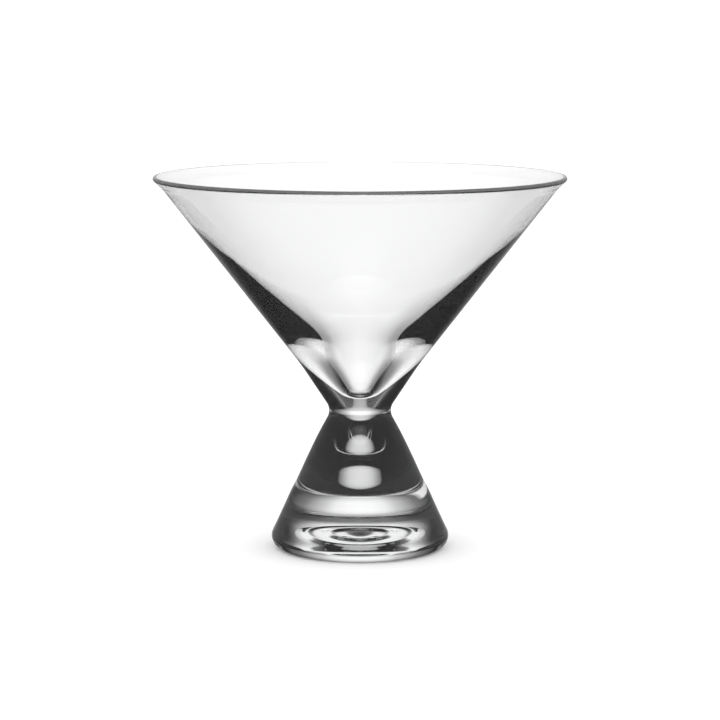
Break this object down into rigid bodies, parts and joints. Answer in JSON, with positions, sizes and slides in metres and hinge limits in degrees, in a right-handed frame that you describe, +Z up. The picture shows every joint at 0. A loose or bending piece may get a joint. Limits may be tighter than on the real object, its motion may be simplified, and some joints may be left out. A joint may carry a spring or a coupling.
{
  "type": "martini glass",
  "caption": "Clear martini glass with a wide conical bowl fused at a narrow waist onto a solid conical foot, in place of a stem.",
  "frame": {"origin": "on the axis of revolution, in the plane of the ring that the foot rests on", "axes": "+Z up along the axis of revolution; X and Y are any two square horizontal directions, because the glass is round"},
  "size_m": [0.12, 0.12, 0.1095],
  "materials": {
    "bowl_glass": "fire-polished clear glass, thin at the rim and thick at the bottom",
    "foot_glass": "fire-polished clear solid glass with a finely ground resting ring"
  },
  "bodies": {
    "root": {"bowl": "bowl_glass", "foot": "foot_glass"}
  },
  "joints": []
}
